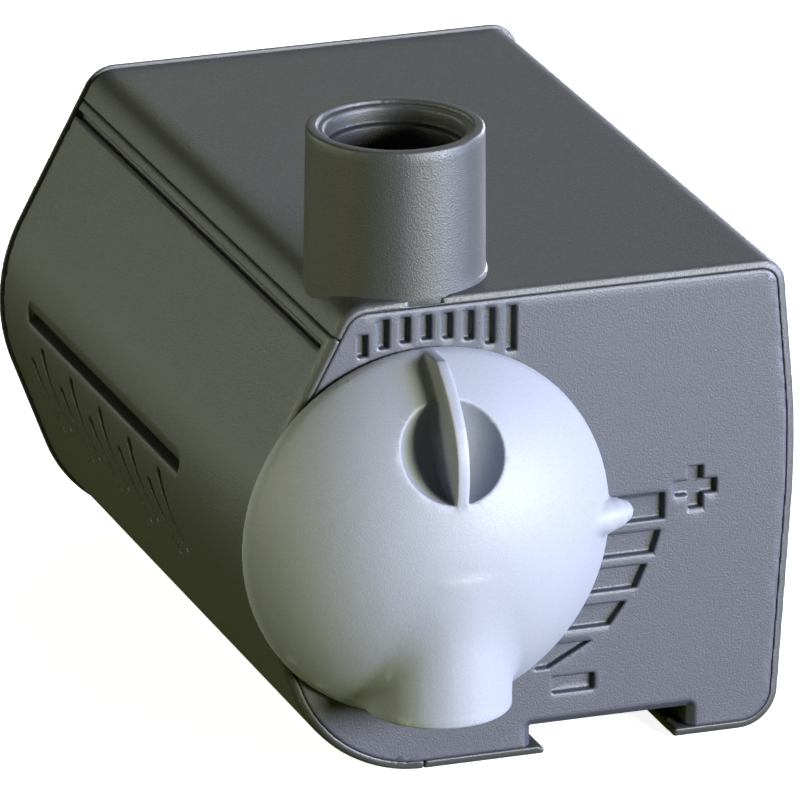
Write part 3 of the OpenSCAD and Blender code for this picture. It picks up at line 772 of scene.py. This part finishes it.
def soften(piece):
    """Rounds the edges of a CAD node that stays in view."""
    piece.data.shade_smooth()
    weld = piece.modifiers.new("weld", "WELD")
    weld.merge_threshold = 0.002 * MM
    merge = piece.modifiers.new("merge", "DECIMATE")
    merge.decimate_type = "DISSOLVE"
    merge.angle_limit = math.radians(0.5)
    bevel = piece.modifiers.new("bevel", "BEVEL")
    bevel.width = EDGE_WIDTH * MM
    bevel.segments = 2
    bevel.limit_method = "ANGLE"
    bevel.angle_limit = math.radians(35)
    bevel.harden_normals = True


replaced_nodes = {row[1] for row in REPLACED}
slots = {part["node"]: part["material_slot"] for part in frame["record"]["subparts"]}
for name, node_object in frame["nodes"].items():
    if name in replaced_nodes:
        continue
    node_object.data.materials.clear()
    node_object.data.materials.append(MATERIALS[slots[name]])
    soften(node_object)


# ---------- camera, lights and floor ----------

def direction(azimuth, elevation):
    """Unit vector in radians; azimuth 0 is in front of the plate and 90 degrees is on the right."""
    level = math.cos(elevation)
    return Vector((math.sin(azimuth) * level, -math.cos(azimuth) * level, math.sin(elevation)))


# Azimuth, elevation and roll in degrees; target and distance in millimetres
CAMERA_ANGLES = (-19.87, 19.91, 0.36)
CAMERA_TARGET = Vector((-12.45, 0, 36.52))
CAMERA_DISTANCE = 1060.27
CAMERA_LENS = 524.8


def camera():
    """Camera at 20 degrees above and to the left of the front plate, with a long lens."""
    azimuth, elevation, roll = (math.radians(a) for a in CAMERA_ANGLES)
    back = direction(azimuth, elevation)
    right = Vector((math.cos(azimuth), math.sin(azimuth), 0))
    up = back.cross(right)
    turned_right = right * math.cos(roll) + up * math.sin(roll)
    turned_up = up * math.cos(roll) - right * math.sin(roll)
    target = ORIGIN + CAMERA_TARGET * MM
    data = bpy.data.cameras.new("camera")
    data.sensor_width = 36
    data.lens = CAMERA_LENS
    data.clip_start = 0.05
    data.clip_end = 50
    made = bpy.data.objects.new("camera", data)
    axes = Matrix((turned_right, turned_up, back)).transposed()
    made.matrix_world = Matrix.Translation(target + back * CAMERA_DISTANCE * MM) @ axes.to_4x4()
    bpy.context.scene.collection.objects.link(made)
    bpy.context.scene.camera = made


def area_light(name, azimuth, elevation, power, colour):
    """Soft round light aimed at the middle of the pump."""
    towards = direction(math.radians(azimuth), math.radians(elevation))
    data = bpy.data.lights.new(name, "AREA")
    data.shape = "DISK"
    data.size = LIGHT_SIZE
    data.energy = power
    data.color = colour
    made = bpy.data.objects.new(name, data)
    middle = (CAD_BOX[0] + CAD_BOX[1]) / 2
    turn = towards.to_track_quat("Z", "Y").to_matrix().to_4x4()
    made.matrix_world = Matrix.Translation(middle + towards * LIGHT_DISTANCE) @ turn
    bpy.context.scene.collection.objects.link(made)


def floor():
    """White ground under the pump that lights nothing and shows in no gloss."""
    made = bmesh.new()
    bmesh.ops.create_grid(made, x_segments=8, y_segments=8, size=6.0)
    mesh = bpy.data.meshes.new("floor")
    made.to_mesh(mesh)
    made.free()
    sheet = bpy.data.objects.new("floor", mesh)
    sheet.location = (0, 0, CAD_BOX[0].z - 0.0001)
    paint = moulded("floor_paint", (0.9, 0.9, 0.9), 0.8, 0.01, 0.0, 2.0, 0.01, 0.1)
    glow = paint.node_tree.nodes["Principled BSDF"]
    glow.inputs["Emission Color"].default_value = (1, 1, 1, 1)
    glow.inputs["Emission Strength"].default_value = 0.9
    mesh.materials.append(paint)
    sheet.visible_diffuse = False
    sheet.visible_glossy = False
    bpy.context.scene.collection.objects.link(sheet)


def world():
    """Dark room with a dim olive glow from below the horizon."""
    made = bpy.data.worlds.new("world")
    made.use_nodes = True
    nodes, links = made.node_tree.nodes, made.node_tree.links
    coords = nodes.new("ShaderNodeTexCoord")
    height = nodes.new("ShaderNodeSeparateXYZ")
    links.new(coords.outputs["Generated"], height.inputs["Vector"])
    glow = ramp(nodes, links, height.outputs["Z"], [(0.0, (0.065, 0.074, 0.0)), (0.02, grey(0.0))])
    links.new(glow, nodes["Background"].inputs["Color"])
    bpy.context.scene.world = made


# Lights of 0.3 m stand 0.9 m from the pump; angles are in degrees and power in watts
LIGHT_SIZE, LIGHT_DISTANCE = 0.3, 0.9
LIGHTS = (
    # name, azimuth, elevation, power, colour
    ("key", 30, 10, 10.6, (0.98, 1.0, 0.75)),
    ("key_side", 45, 10, 5.2, (0.9, 0.95, 2.0)),
    ("side", 60, 10, 4.2, (0.85, 1.0, 1.2)),
    ("right_back", 128, 6, 9.0, (0.95, 1.0, 1.15)),
    ("back", 160, 45, 0.75, (1.0, 1.0, 1.15)),
    ("back_low", 170, 12, 0.25, (0.9, 1.0, 0.5)),
    ("back_left", -130, 10, 1.8, (0.92, 1.0, 0.85)),
    ("left", -85, 10, 2.2, (1.0, 1.0, 0.66)),
)


camera()
floor()
world()
for light_name, azimuth, elevation, power, colour in LIGHTS:
    area_light(light_name, azimuth, elevation, power, colour)
bpy.context.scene.view_settings.view_transform = "Standard"
